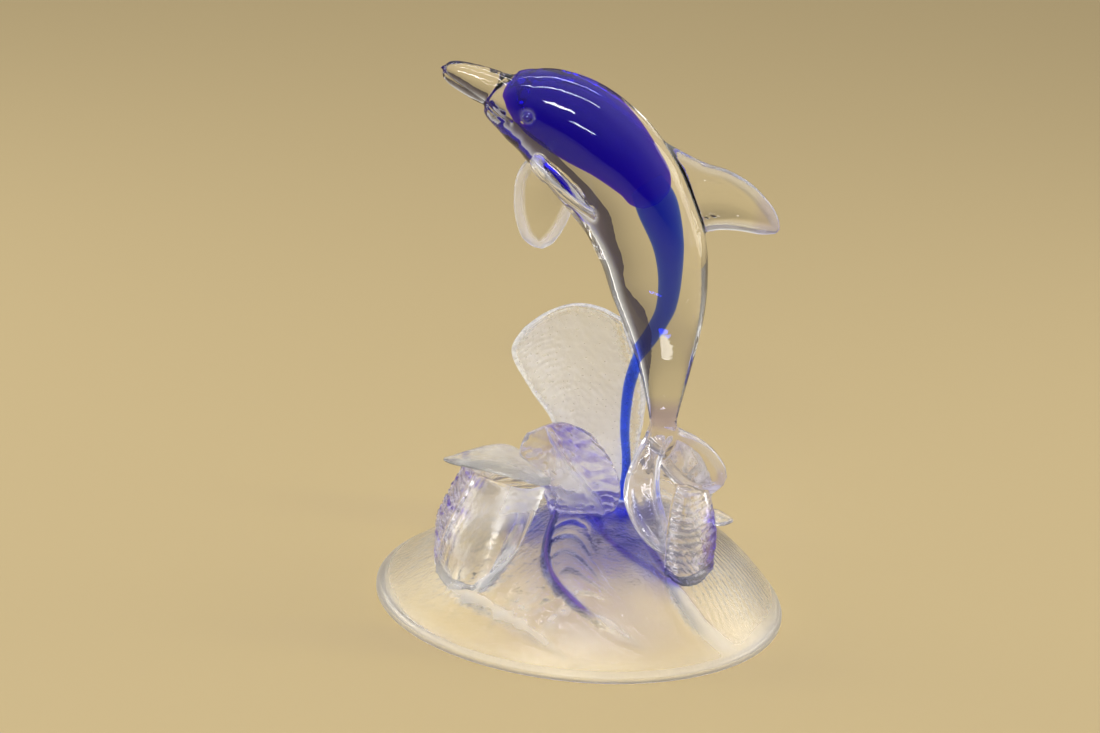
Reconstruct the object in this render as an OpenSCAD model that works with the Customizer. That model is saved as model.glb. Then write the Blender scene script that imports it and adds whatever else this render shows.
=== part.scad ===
// Leaping dolphin figurine in clear crystal glass with a cobalt core, on a round glass wave foot.
// Millimetres, +Z up, +X is the side the dolphin's back faces, -Y is the front.
// The origin is the centre of the foot on the surface it stands on.

/* [Foot] */
// Outer diameter of the round foot
foot_d = 150; // [146:1:170]
// Height of the clear dome on the side under the tail
foot_h_right = 41; // [34:0.5:46]
// Height of the clear dome on the opposite side
foot_h_left = 33; // [28:0.5:40]
// Height of the upright band round the rim
rim_h = 3; // [2:0.1:5]
// Width of the flat ring that the foot stands on
rim_w = 4; // [3:0.1:8]
// Glass thickness of the hollow foot
foot_wall = 6; // [4:0.5:10]

/* [Dolphin] */
// Body width across, as a share of its depth seen from the side
body_flat = 0.8; // [0.65:0.01:1]
// Length of the dorsal fin from the back to its tip
dorsal_len = 30; // [24:0.5:36]
// Thickness of the dorsal fin at its root
dorsal_t = 7; // [5:0.1:9]
// Thickness of each flipper at its root
flipper_t = 5.6; // [4:0.1:8]
// Thickness of each tail fluke at its root
fluke_t = 6; // [4:0.1:8]
// Diameter of each glass eye bead
eye_d = 3.8; // [2.4:0.1:4.6]

/* [Cobalt glass] */
// Size of the blue core inside the body, as a share of its usual size
core_scale = 1; // [0.7:0.01:1.15]
// Thickness of the blue pool on top of the foot
pool_t = 3; // [2:0.1:5]

/* [Waves] */
// Thickness of the tall wave behind the tail
tall_t = 6; // [4:0.1:9]
// Thickness of the other waves
wave_t = 4.6; // [3:0.1:6]
// Height of the ribs pressed into the waves
rib_h = 0.5; // [0:0.05:1]

/* [Hidden] */

foot_r = foot_d / 2;
clear_glass = [0.86, 0.88, 0.87, 0.45];
frost_glass = [0.84, 0.85, 0.85, 0.75];
cobalt_glass = [0.05, 0.05, 0.62];
eps = 0.02;

// Body sections from the beak tip to the tail: [x, z, half depth seen from the side]
body_keys = [
  [-64.6, 196, 1], [-63.4, 195.6, 3.1], [-60, 194.5, 4.7], [-53, 192.2, 6.1],
  [-46.6, 190, 7.1], [-42.5, 187.6, 10.2], [-36, 185.4, 13.8], [-27, 182.4, 17.4],
  [-17, 177.2, 19.8], [-7.4, 169.4, 21], [0.6, 161, 21], [7.6, 151.6, 20.4],
  [14.2, 138, 19.4], [18, 124, 17.6], [20.4, 113.5, 15.2], [22, 103.4, 12.4],
  [23.1, 92.9, 9.5], [23.8, 82.5, 7], [24.3, 74, 5.2], [24.8, 65, 4.2], [24.9, 61.5, 2.2]];

// Cobalt core in the head and the back: [x, z, radius]
core_keys = [
  [-42, 188.6, 1.4], [-39.6, 188.6, 4.6], [-35, 188, 7.8], [-29, 186.4, 9.8], [-21, 183, 11],
  [-12, 178, 11], [-3, 172, 9.8], [6, 163.6, 7.8], [9.6, 158.8, 6.9], [11.8, 155.6, 4.6],
  [12.6, 154.4, 1.2]];

// Cobalt thread from the core down the tail, out of the belly and into the pool: [x, z, radius]
thread_keys = [
  [6.4, 163, 5], [13, 153, 5.8], [18, 141, 4.5], [20.2, 129.7, 3.4], [20.6, 118.5, 2.9],
  [19, 110.8, 2.6], [16.4, 103, 2.4], [13.4, 96, 2.3], [11.4, 88, 2.2], [10.6, 80, 2],
  [10.8, 68, 1.7], [12.4, 57, 1.6], [13, 48, 2], [12, 41.6, 3]];

// ---- numbers along smooth curves ----
function cr(a, b, c, d, t) =
  0.5 * (2 * b + (c - a) * t + (2 * a - 5 * b + 4 * c - d) * t * t
  + (3 * b - a - 3 * c + d) * t * t * t);
// The key rows k with n steps between neighbours, through every key
function smooth(k, n) = let (m = len(k)) [
  for (i = [0 : m - 2]) for (j = [0 : n - 1])
    cr(k[max(i - 1, 0)], k[i], k[i + 1], k[min(i + 2, m - 1)], j / n),
  k[m - 1]];
function unit(v) = v / max(norm(v), 1e-9);
function mean(p) = [for (i = [0 : 2]) let (s = [for (q = p) q[i]]) s * [for (q = p) 1] / len(p)];
function columns(g) = [for (j = [0 : len(g[0]) - 1]) [for (row = g) row[j]]];

// ---- the dome of the foot ----
function side(x, y) = (1 + x / max(norm([x, y]), 1e-6)) / 2;
function dome_z(x, y) = let (
  r = min(norm([x, y]), foot_r), s = side(x, y),
  h = (foot_h_left + (foot_h_right - foot_h_left) * s) - rim_h,
  top = (foot_h_left + foot_h_right) / 2 - rim_h,
  b = min(r / foot_r * 2.5, 1))
  rim_h + (top * (1 - b) + h * b) * (1 - pow(r / foot_r, 1.8 + 0.8 * s));

// ---- the blue pool on top of the foot ----
pool_mid = [2, -4];
// [angle, reach from the middle]
pool_lobes = [[0, 18], [30, 14], [75, 14], [120, 18], [165, 25], [205, 30], [230, 33],
  [258, 42], [280, 44], [300, 51], [318, 40], [340, 26], [360, 18]];
function pool_reach(a) = lookup((a + 360) % 360, pool_lobes);
function pool_rise(k) = max(0, 0.4 + pool_t * (1 - k * k));
// Height of the foot with the pool on it
function top_z(x, y) = let (d = [x, y] - pool_mid)
  dome_z(x, y) + pool_rise(norm(d) / pool_reach(atan2(d[1], d[0])));

// ---- solids ----
// Closed solid through equal rings of points. Each end is closed to its own centre or,
// for a flat ring of two facing rows, straight across from row to row
module ringed(rings, flat = false) {
  n = len(rings[0]);
  m = len(rings);
  points = [for (r = rings) each r, if (!flat) each [mean(rings[0]), mean(rings[m - 1])]];
  walls = [for (i = [0 : m - 2]) for (j = [0 : n - 1])
    let (a = i * n + j, b = i * n + (j + 1) % n) each [[a, b, b + n], [a, b + n, a + n]]];
  e = (m - 1) * n;
  first = flat
    ? [for (j = [0 : n / 2 - 2]) each [[j + 1, j, n - 1 - j], [j + 1, n - 1 - j, n - 2 - j]]]
    : [for (j = [0 : n - 1]) [m * n, (j + 1) % n, j]];
  last = flat
    ? [for (j = [0 : n / 2 - 2]) each [[e + j, e + j + 1, e + n - 1 - j],
      [e + n - 1 - j, e + j + 1, e + n - 2 - j]]]
    : [for (j = [0 : n - 1]) [m * n + 1, e + j, e + (j + 1) % n]];
  faces = concat(walls, first, last);
  inward = [for (f = faces) points[f[0]] * cross(points[f[1]], points[f[2]])] * [for (f = faces) 1];
  polyhedron(points, inward < 0 ? faces : [for (f = faces) [f[2], f[1], f[0]]], convexity = 10);
}

// Solid along a curve in the XZ plane; rows are [x, z, half depth], flat is width over depth
module spindle(keys, n, sides, flat, grow = 1) {
  rows = smooth(keys, n);
  m = len(rows);
  ringed([for (i = [0 : m - 1]) let (
    a = rows[max(i - 1, 0)], b = rows[min(i + 1, m - 1)],
    t = unit([b[0] - a[0], 0, b[1] - a[1]]), u = [t[2], 0, -t[0]], r = rows[i][2] * grow)
    [for (j = [0 : sides - 1]) [rows[i][0], 0, rows[i][1]]
      + u * r * cos(j * 360 / sides) + [0, 1, 0] * r * flat * sin(j * 360 / sides)]]);
}

// Leaf with lens sections; rows are [centre, half chord, half thickness]
module leaf(keys, n, sides) {
  ringed([for (s = smooth(keys, n)) [for (j = [0 : sides - 1])
    s[0] + s[1] * cos(j * 360 / sides) + s[2] * sin(j * 360 / sides)]]);
}

// Curved plate through a grid of key points, thinner at its edges, ribbed along its rows
module plate(grid, n, t, ribs = 0, edge = 0.45) {
  g = columns([for (c = columns([for (row = grid) smooth(row, n)])) smooth(c, n)]);
  w = len(g[0]);
  m = len(g);
  function at(i, j) = g[min(max(i, 0), m - 1)][min(max(j, 0), w - 1)];
  function thick(i, j) = let (
    u = i / (m - 1), v = j / (w - 1),
    rim = min(1, edge + (1 - edge) * 3.2 * min(min(v, 1 - v), 1 - u)))
    t / 2 * rim + rib_h / 2 * ribs * rim * cos(i * 180);
  function face(i, j, s) = let (
    d = unit(cross(at(i, j + 1) - at(i, j - 1), at(i + 1, j) - at(i - 1, j))))
    at(i, j) + d * s * thick(i, j);
  function seated(p, i) = let (g = dome_z(p[0], p[1]))
    [p[0], p[1], i == 0 ? g - eps : max(p[2], g + i)];
  ringed([for (i = [0 : m - 1]) [
    for (j = [0 : w - 1]) seated(face(i, j, 1), i),
    for (j = [w - 1 : -1 : 0]) seated(face(i, j, -1), i)]], true);
}

// Low rounded ridge lying on the dome; rows are [x, y, half width, height]
module ridge(keys, n) {
  rows = smooth(keys, n);
  m = len(rows);
  sides = 8;
  ringed([for (i = [0 : m - 1]) let (
    a = rows[max(i - 1, 0)], b = rows[min(i + 1, m - 1)], t = unit([b[0] - a[0], b[1] - a[1]]),
    r = rows[i]) [for (k = [0 : sides]) let (
      q = 180 * k / sides, x = r[0] + t[1] * r[2] * cos(q), y = r[1] - t[0] * r[2] * cos(q))
      [x, y, dome_z(x, y) - eps + r[3] * sin(q)]]]);
}

// ---- foot ----
module foot_rim() {
  // Ground ring round the foot, its outer corners rounded
  r = rim_h / 3;
  function arc(z, from) = [for (k = [0 : 6]) let (a = from + k * 15)
    [foot_r - r + r * cos(a), z + r * sin(a)]];
  color(frost_glass) rotate_extrude($fn = 120)
    polygon(concat([[foot_r - rim_w, rim_h], [foot_r - rim_w, 0]], arc(r, -90), arc(rim_h - r, 0)));
}

module foot_dome() {
  steps = 60;
  base_r = foot_r - rim_h / 3;
  inner_r = foot_r - rim_w;
  lift = 1 - foot_wall / (foot_h_left - rim_h);
  function ring(r, f) = [for (j = [0 : steps - 1]) let (a = j * 360 / steps) f(r * cos(a), r * sin(a))];
  q = foot_r / inner_r;
  outer = function(x, y) [x, y, max(rim_h, dome_z(x, y))];
  inner = function(x, y) [x, y, rim_h + (dome_z(x * q, y * q) - rim_h) * lift];
  level = function(x, y) [x, y, rim_h];
  color(clear_glass) ringed([
    for (k = [0.04, 0.2, 0.4, 0.58, 0.72, 0.84, 0.93, 0.98]) ring(inner_r * k, inner),
    ring(inner_r, level),
    ring(base_r, level),
    for (k = [0.965, 0.93, 0.87, 0.8, 0.72, 0.63, 0.54, 0.45, 0.36, 0.27, 0.18, 0.1, 0.03])
      ring(foot_r * k, outer)]);
}

module cobalt_pool() {
  steps = 48;
  function layer(k, up) = [for (j = [0 : steps - 1]) let (
    a = j * 360 / steps, r = k * pool_reach(a),
    x = pool_mid[0] + r * cos(a), y = pool_mid[1] + r * sin(a))
    [x, y, dome_z(x, y) - eps + up * pool_rise(k)]];
  color(cobalt_glass) ringed([
    for (k = [0.1, 0.4, 0.7, 0.9, 1]) layer(k, 0),
    for (k = [0.99, 0.9, 0.7, 0.4, 0.1]) layer(k, 1)]);
}

// ---- dolphin ----
module body_outline(grow = 1) { spindle(body_keys, 2, 24, body_flat, grow); }
module core_outline(grow = 1) { spindle(core_keys, 3, 20, 1, core_scale * grow); }
module thread_outline(grow = 1) { spindle(thread_keys, 2, 16, 1, core_scale * grow); }

module dolphin_body() {
  color(clear_glass) difference() {
    body_outline();
    core_outline(1.004);
    thread_outline(1.004);
  }
}

module cobalt_core() { color(cobalt_glass) core_outline(); }
module cobalt_thread() { color(cobalt_glass) thread_outline(); }

module dorsal_fin() {
  k = dorsal_len / 30;
  r = dorsal_t / 2;
  color(clear_glass) difference() {
    leaf([
      [[20.6, 0, 159], [6, 0, -15.8], [0, r, 0]],
      [[30 + 0 * k, 0, 157.5], [1.4, 0, -11.4], [0, r * 0.94, 0]],
      [[30 + 7.5 * k, 0, 157.2], [-0.6, 0, -9.4], [0, r * 0.8, 0]],
      [[30 + 14.5 * k, 0, 155.4], [-1.6, 0, -7.2], [0, r * 0.64, 0]],
      [[30 + 20.5 * k, 0, 152.6], [-1.6, 0, -4.8], [0, r * 0.5, 0]],
      [[30 + 25 * k, 0, 149.9], [-1.2, 0, -2.6], [0, r * 0.36, 0]],
      [[30 + 27.4 * k, 0, 148.1], [-0.4, 0, -0.8], [0, r * 0.16, 0]]], 2, 16);
    body_outline();
  }
}

// Flipper on one side: s is -1 for the near (left) side, 1 for the far side
module flipper(keys) { color(clear_glass) difference() { leaf(keys, 2, 14); body_outline(); } }

module left_flipper() {
  r = flipper_t / 2;
  flipper([
    [[-16.6, -4, 157.6], [-10, 0.6, 9.6], [r * 0.7, 0.1, r * 0.7]],
    [[-18.2, -12, 160], [-10.2, 0.2, 9.2], [r * 0.66, 0.1, r * 0.66]],
    [[-19.8, -18, 162], [-9.8, 0, 8.4], [r * 0.56, 0.1, r * 0.56]],
    [[-21.2, -23.4, 163.8], [-8.6, 0, 7.2], [r * 0.46, 0.1, r * 0.46]],
    [[-22.2, -27.4, 165], [-6.6, 0, 5.4], [r * 0.36, 0, r * 0.36]],
    [[-22.8, -29.6, 165.6], [-3.8, 0, 3], [r * 0.26, 0, r * 0.26]],
    [[-23, -30.4, 165.8], [-1, 0, 0.8], [r * 0.12, 0, r * 0.12]]]);
}

module right_flipper() {
  r = flipper_t / 2;
  flipper([
    [[-18, 8, 164], [-10, 0, 2], [-0.4, r, -0.4]],
    [[-22.4, 14, 157.6], [-10, 0, 2.4], [-0.4, r * 0.94, -0.4]],
    [[-25, 17.6, 151], [-9.7, 0, 2.6], [-0.3, r * 0.84, -0.3]],
    [[-26, 19.8, 144.4], [-9, 0, 2], [-0.3, r * 0.72, -0.3]],
    [[-26.5, 21, 137.6], [-7.5, 0, 1.2], [-0.2, r * 0.58, -0.2]],
    [[-26.6, 21.7, 131.4], [-4.8, 0, 0.4], [-0.2, r * 0.42, -0.2]],
    [[-26.3, 21.9, 127.8], [-1.4, 0, 0.2], [-0.1, r * 0.2, -0.1]]]);
}

module left_fluke() {
  r = fluke_t / 2;
  color(clear_glass) difference() {
    leaf([
      [[24.2, 0, 67], [2, 0, 0.3], [0, r * 0.55, -r * 0.27]],
      [[21.4, -4, 63], [3.6, 0.6, 0.4], [0, r * 0.8, -r * 0.6]],
      [[19.4, -8.6, 58.4], [4, 0.9, 0.5], [0, r * 0.75, -r * 0.65]],
      [[18.6, -13.4, 53.2], [4.7, 1.2, 0.5], [0, r * 0.68, -r * 0.6]],
      [[19.2, -17.4, 48.6], [5, 1.2, 0.5], [0, r * 0.6, -r * 0.55]],
      [[21.2, -21.2, 44.2], [4.8, 1, 0.4], [0, r * 0.5, -r * 0.45]],
      [[23.8, -25, 39.8], [4, 0.8, 0.3], [0, r * 0.4, -r * 0.35]],
      [[26.6, -28.4, 35.8], [2.4, 0.4, 0.2], [0, r * 0.3, -r * 0.25]],
      [[28.4, -30.2, 33.8], [0.6, 0.1, 0], [0, r * 0.14, -r * 0.1]]], 2, 14);
    body_outline();
  }
}

module right_fluke() {
  r = fluke_t / 2;
  color(clear_glass) difference() {
    leaf([
      [[24.4, 0.6, 67], [1.6, 0.8, 3.4], [r * 0.5, -r * 0.7, -r * 0.1]],
      [[28.4, 4, 61], [2.4, 1.4, 5.6], [r * 0.45, -r * 0.7, -r * 0.1]],
      [[34.2, 8.4, 55.2], [2.4, 1.2, 7.6], [r * 0.4, -r * 0.6, 0]],
      [[40.4, 12.6, 50.2], [2, 1, 7.6], [r * 0.35, -r * 0.5, 0]],
      [[45.8, 15.4, 46.8], [1.4, 0.8, 4.8], [r * 0.25, -r * 0.35, 0]],
      [[49.2, 16.8, 45.4], [0.4, 0.2, 1.3], [r * 0.1, -r * 0.14, 0]]], 2, 14);
    body_outline();
  }
}

module eye(s) { color(clear_glass) translate([-33.8, s * 11.7, 184.2]) sphere(d = eye_d, $fn = 32); }
module left_eye() { eye(-1); }
module right_eye() { eye(1); }

// ---- waves: rows run up from the foot, points run across each row ----
module tall_wave() {
  color(frost_glass) difference() {
    plate([
      [[-12, 12, 38], [-6, 10, 39], [1, 8, 39], [9, 7, 39], [17, 8, 39]],
      [[-12.5, 9, 54], [-6, 11, 55], [2, 10, 55], [9, 8, 55], [16, 6, 56]],
      [[-15.5, 5, 67], [-8, 10, 69], [1, 11, 70], [9, 9, 70], [17, 5, 70]],
      [[-24, 2, 79], [-14, 9, 83], [-3, 11, 84], [7, 8, 84], [16.6, 3, 83]],
      [[-32, -1, 93.5], [-20, 8, 96], [-8, 10, 97], [3, 7, 97], [12, 2, 96]],
      [[-28.4, 1, 102.5], [-20, 7, 108], [-11, 8, 111.4], [-2, 5, 111.6], [6.4, 1, 109]]],
      4, tall_t, 1);
    body_outline();
    thread_outline(1.01);
  }
}

module curl_wave() {
  color(frost_glass) plate([
    [[-13, 2, 34], [-6.5, -2, 36], [1, -4.5, 37], [9, -2.5, 38]],
    [[-17.5, -3, 46], [-9, -9, 45.6], [1, -11, 45.6], [11, -6, 46.6]],
    [[-26, -1, 55.6], [-14, -8, 58], [-3, -11, 57.6], [6.8, -6, 57]],
    [[-23, -1, 63.8], [-16, -4, 69.3], [-9.6, -6, 70.5], [-2, -5, 66.4]]], 3, wave_t, 1);
}

module left_wall_wave() {
  color(frost_glass) plate([
    [[-52, 6, 15], [-51.6, -12, 15.5], [-48.6, -27, 15], [-41.5, -38.5, 15.5], [-33, -38, 19.5],
      [-25.5, -23, 26.5]],
    [[-52.6, 3, 27], [-51.4, -13, 27], [-46.6, -26, 28], [-38.5, -34, 28], [-29.5, -33, 30],
      [-22.5, -21, 34]],
    [[-49.6, 2, 37], [-48, -12, 38], [-42, -22, 40], [-34, -28, 40], [-26, -27, 41],
      [-19.5, -19, 42]],
    [[-43.6, 2, 50], [-43, -10, 51], [-37, -18, 51.6], [-30, -21.6, 50.8], [-23, -21, 49.6],
      [-17, -16, 49]]], 3, wave_t * 0.85, 1);
}

module left_shelf_wave() {
  color(frost_glass) leaf([
    [[-53.4, -7, 53], [0.2, 1, 0], [0, 0, 0.5]],
    [[-49.6, -7, 53.4], [1, 4.4, 0.2], [0, 0, 1]],
    [[-43, -6.4, 54.4], [1.6, 8.4, 0.8], [0, 0, 1.4]],
    [[-34, -6, 54.8], [1.6, 13, 0.8], [0, 0, 1.7]],
    [[-26, -8, 53.4], [1, 12.4, 0.4], [0, 0, 1.8]],
    [[-18.4, -11, 51], [0.4, 8.4, 0], [0, 0, 1.5]],
    [[-14.2, -12, 50], [0.1, 3, 0], [0, 0, 0.8]]], 3, 14);
}

module front_rib_wave() {
  // Leaf lying on the foot, a spine along its left edge: [x, y, width, spine height]
  rows = smooth([[-11.4, 2, 3, 1], [-12, -9, 9, 2], [-13.6, -23, 17, 2.6], [-13.4, -36, 18, 2.6],
    [-9.4, -46, 17, 2.2], [-2, -54, 12, 1.7], [8, -61, 3, 0.9]], 4);
  m = len(rows);
  cols = 14;
  function lift(i, j) = j == 0 || j == cols ? 0
    : j < 4 ? rows[i][3] * sin(j * 45)
    : (0.7 + rib_h * (1 + cos(i * 180)) / 2) * sin(90 * min(1, (cols - j) / 4))
      * sin(180 * i / (m - 1));
  function spot(i, j, up) = let (
    r = rows[i],
    x = r[0] + (j < 4 ? (j - 2) * 0.75 : 1.5 + (r[2] - 1.5) * (j - 4) / (cols - 4)),
    y = r[1] - 0.012 * pow(max(0, x - r[0]), 2))
    [x, y, top_z(x, y) - eps + up * lift(i, j)];
  color(frost_glass) ringed([for (i = [0 : m - 1]) [
    for (j = [0 : cols]) spot(i, j, 1),
    for (j = [cols - 1 : -1 : 1]) spot(i, j, 0) - [0, 0, 0.3]]]);
}

module right_rib_wave() {
  color(frost_glass) plate([
    [[29, -35, 27], [34, -37, 25], [40.5, -32, 25], [46, -20, 26.5]],
    [[28.5, -30, 38], [34, -31, 36], [41, -26, 35.5], [46.2, -16, 36]],
    [[28.8, -25, 47.5], [34, -26, 46], [40, -21, 44.5], [44.6, -13, 44.4]],
    [[30.5, -18, 55.5], [34.5, -19, 56], [38.8, -16, 53.5], [42, -10, 51]]], 3, wave_t * 0.8, 1);
}

module spray_tip() {
  color(frost_glass) leaf([
    [[42, -13, 42.6], [0.8, 1.8, 2.2], [0.1, 1.2, -1]],
    [[46, -13.6, 42], [0.8, 2.2, 2.2], [0.1, 1.1, -1]],
    [[50, -14, 41.8], [0.4, 1.6, 1.5], [0.1, 0.8, -0.8]],
    [[52.6, -14.2, 41.8], [0.1, 0.4, 0.4], [0, 0.3, -0.3]]], 3, 10);
}

module back_left_wave() {
  color(frost_glass) plate([
    [[-48, 18, 17], [-38, 28, 20], [-25, 33, 23], [-10, 34, 26]],
    [[-50, 17, 27], [-40, 27, 29], [-26, 32, 31], [-10, 33, 34]],
    [[-45, 14, 36], [-37, 23, 38], [-26, 27, 40], [-12, 28, 41]],
    [[-37, 11, 42], [-31, 17, 44.6], [-23, 20, 47], [-14, 21, 47]]], 3, wave_t, 1);
}

module back_right_wave() {
  color(frost_glass) plate([
    [[6, 37.4, 26], [20, 37, 28], [33, 32, 27], [42.6, 22.4, 26]],
    [[6.4, 37, 37], [21, 38, 40], [35, 32, 38], [44.6, 23, 36]],
    [[10, 32, 45], [21, 33, 49], [33, 28, 48], [41, 21, 43]],
    [[14, 26, 49], [22, 26, 54], [30, 23, 54], [36, 19, 49]]], 3, wave_t, 1);
}

module left_ridge() {
  color(frost_glass) ridge([[-45, -36, 1.8, 1.2], [-42, -41, 2.8, 2.2], [-36, -47, 3, 2.5],
    [-25, -57, 2.8, 2.1], [-15, -64, 2.4, 1.5], [-5, -70, 1.4, 0.8]], 3);
}

module right_ridge() {
  color(frost_glass) ridge([[31, -39, 2, 1.2], [35, -43, 3.2, 2.4], [40, -47, 3.8, 2.8],
    [46, -49.4, 3.4, 2.2], [52.4, -48, 1.8, 0.8]], 3);
}

foot_rim();
foot_dome();
dolphin_body();
cobalt_core();
cobalt_thread();
cobalt_pool();
dorsal_fin();
left_flipper();
right_flipper();
left_fluke();
right_fluke();
left_eye();
right_eye();
tall_wave();
curl_wave();
left_wall_wave();
left_shelf_wave();
front_rib_wave();
right_rib_wave();
spray_tip();
back_left_wave();
back_right_wave();
left_ridge();
right_ridge();
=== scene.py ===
import math
import bmesh
import bpy
import numpy as np
from mathutils import Matrix, Vector
from mathutils.kdtree import KDTree


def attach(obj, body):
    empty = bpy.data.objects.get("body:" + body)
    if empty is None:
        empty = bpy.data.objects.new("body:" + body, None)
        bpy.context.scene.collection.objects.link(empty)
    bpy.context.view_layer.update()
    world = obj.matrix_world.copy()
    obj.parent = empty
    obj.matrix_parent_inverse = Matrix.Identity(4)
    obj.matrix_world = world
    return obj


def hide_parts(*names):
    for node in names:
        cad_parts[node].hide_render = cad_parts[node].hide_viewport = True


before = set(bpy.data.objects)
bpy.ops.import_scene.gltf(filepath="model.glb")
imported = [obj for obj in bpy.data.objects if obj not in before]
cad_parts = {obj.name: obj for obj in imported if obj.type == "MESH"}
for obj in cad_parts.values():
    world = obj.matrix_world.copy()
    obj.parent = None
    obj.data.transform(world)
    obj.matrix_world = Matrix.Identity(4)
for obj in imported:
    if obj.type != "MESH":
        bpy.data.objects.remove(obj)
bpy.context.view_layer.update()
bpy.context.scene.view_settings.view_transform = "Standard"

MM = 0.001
# Camera: lens and sensor in mm, tilts in degrees, place in mm
LENS, SENSOR = 108, 36
PITCH, ROLL = 19, 5.09
CAMERA_AT = (-18.2, -1125, 476.8)
FLOOR_COLOUR = (0.53, 0.42, 0.23, 1)
# Floor radius in metres and the number of its sides
FLOOR_RADIUS, FLOOR_SIDES = 3, 96

# ---------------------------------------------------------------- camera, light, floor
def make_camera():
    data = bpy.data.cameras.new("camera")
    data.lens, data.sensor_width = LENS, SENSOR
    data.clip_start, data.clip_end = 0.05, 20
    cam = bpy.data.objects.new("camera", data)
    p, r = math.radians(PITCH), math.radians(ROLL)
    up = Vector((0, math.sin(p), math.cos(p)))
    fwd = Vector((0, math.cos(p), -math.sin(p)))
    side = Vector((1, 0, 0))
    x = side * math.cos(r) + up * math.sin(r)
    y = up * math.cos(r) - side * math.sin(r)
    m = Matrix((x, y, -fwd)).transposed().to_4x4()
    m.translation = Vector(CAMERA_AT) * MM
    cam.matrix_world = m
    bpy.context.scene.collection.objects.link(cam)
    bpy.context.scene.camera = cam


def aim(ob, at, target, side):
    """Turn a lamp towards the target, its width along side."""
    z = (Vector(at) - Vector(target)).normalized()
    x = (Vector(side) - z * z.dot(Vector(side))).normalized()
    m = Matrix((x, z.cross(x), z)).transposed().to_4x4()
    m.translation = Vector(at)
    ob.matrix_world = m


def area(name, at, target, size, size_y, watts, colour=(1, 1, 1), side=(1, 0, 0)):
    d = bpy.data.lights.new(name, "AREA")
    d.shape, d.size, d.size_y, d.energy, d.color = "ELLIPSE", size, size_y, watts, colour
    o = bpy.data.objects.new(name, d)
    bpy.context.scene.collection.objects.link(o)
    aim(o, at, target, side)
    o.visible_camera = False


def nodes_of(mat):
    mat.use_nodes = True
    t = mat.node_tree
    t.nodes.clear()
    out = t.nodes.new("ShaderNodeOutputMaterial")
    return t, out


def ramp(t, stops):
    n = t.nodes.new("ShaderNodeValToRGB")
    e = n.color_ramp.elements
    while len(e) < len(stops):
        e.new(0.5)
    for k, (at, c) in zip(e, stops):
        k.position, k.color = at, (*c, 1) if len(c) == 3 else c
    return n


def make_world():
    w = bpy.data.worlds.new("studio")
    bpy.context.scene.world = w
    w.use_nodes = True
    t = w.node_tree
    t.nodes.clear()
    out = t.nodes.new("ShaderNodeOutputWorld")
    bg = t.nodes.new("ShaderNodeBackground")
    co = t.nodes.new("ShaderNodeTexCoord")
    sep = t.nodes.new("ShaderNodeSeparateXYZ")
    t.links.new(co.outputs["Generated"], sep.inputs[0])
    r = ramp(t, [(0, (0.09, 0.07, 0.065)), (0.1, (0.13, 0.1, 0.095)), (0.25, (0.3, 0.27, 0.25)),
                 (0.6, (0.95, 0.93, 0.9)), (1, (1, 1, 1))])
    t.links.new(sep.outputs["Z"], r.inputs[0])
    across = t.nodes.new("ShaderNodeMath")
    across.operation = "ABSOLUTE"
    t.links.new(sep.outputs["X"], across.inputs[0])
    side = t.nodes.new("ShaderNodeMapRange")
    side.interpolation_type = "SMOOTHSTEP"
    side.inputs["From Min"].default_value, side.inputs["From Max"].default_value = 0.5, 0.9
    t.links.new(across.outputs[0], side.inputs["Value"])
    mix = t.nodes.new("ShaderNodeMix")
    mix.data_type = "RGBA"
    mix.inputs[7].default_value = (0.85, 0.82, 0.77, 1)
    t.links.new(side.outputs[0], mix.inputs[0])
    t.links.new(r.outputs[0], mix.inputs[6])
    t.links.new(mix.outputs[2], bg.inputs["Color"])
    front = t.nodes.new("ShaderNodeMapRange")
    front.interpolation_type = "SMOOTHSTEP"
    front.inputs["From Min"].default_value, front.inputs["From Max"].default_value = -0.1, -0.6
    front.inputs["To Min"].default_value, front.inputs["To Max"].default_value = 0.82, 0.4
    t.links.new(sep.outputs["Y"], front.inputs["Value"])
    t.links.new(front.outputs[0], bg.inputs["Strength"])
    t.links.new(bg.outputs[0], out.inputs[0])


def make_floor():
    m = bpy.data.materials.new("floor")
    t, out = nodes_of(m)
    b = t.nodes.new("ShaderNodeBsdfPrincipled")
    b.inputs["Base Color"].default_value = FLOOR_COLOUR
    b.inputs["Roughness"].default_value = 0.9
    b.inputs["Specular IOR Level"].default_value = 0
    t.links.new(b.outputs[0], out.inputs[0])
    me = bpy.data.meshes.new("floor")
    turns = [a * 2 * math.pi / FLOOR_SIDES for a in range(FLOOR_SIDES)]
    pts = [(FLOOR_RADIUS * math.cos(a), FLOOR_RADIUS * math.sin(a), 0) for a in turns]
    me.from_pydata(pts, [], [list(range(FLOOR_SIDES))])
    me.materials.append(m)
    o = bpy.data.objects.new("floor", me)
    bpy.context.scene.collection.objects.link(o)


make_camera()
make_world()
make_floor()
area("key", (-0.15, -1.0, 0.85), (0, 0, 0.12), 0.5, 0.08, 3.0, (1, 0.98, 0.95))
area("strip", (0.1, -1.3, 0.6), (0, 0, 0.12), 0.42, 0.05, 0.9)
area("tube_front", (0, -0.4, 1.2), (0, 0, 0.1), 1.3, 0.05, 2.9)
area("tube_back", (0, 0.3, 1.2), (0, 0, 0.1), 1.3, 0.05, 2.4)
area("side_r", (0.8, 0.25, 0.3), (0, 0, 0.1), 0.5, 0.6, 1.7, (1, 0.95, 0.85), (0, 1, 0))
area("side_l", (-0.8, 0.25, 0.3), (0, 0, 0.1), 0.5, 0.6, 1.7, (1, 0.95, 0.85), (0, 1, 0))


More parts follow.
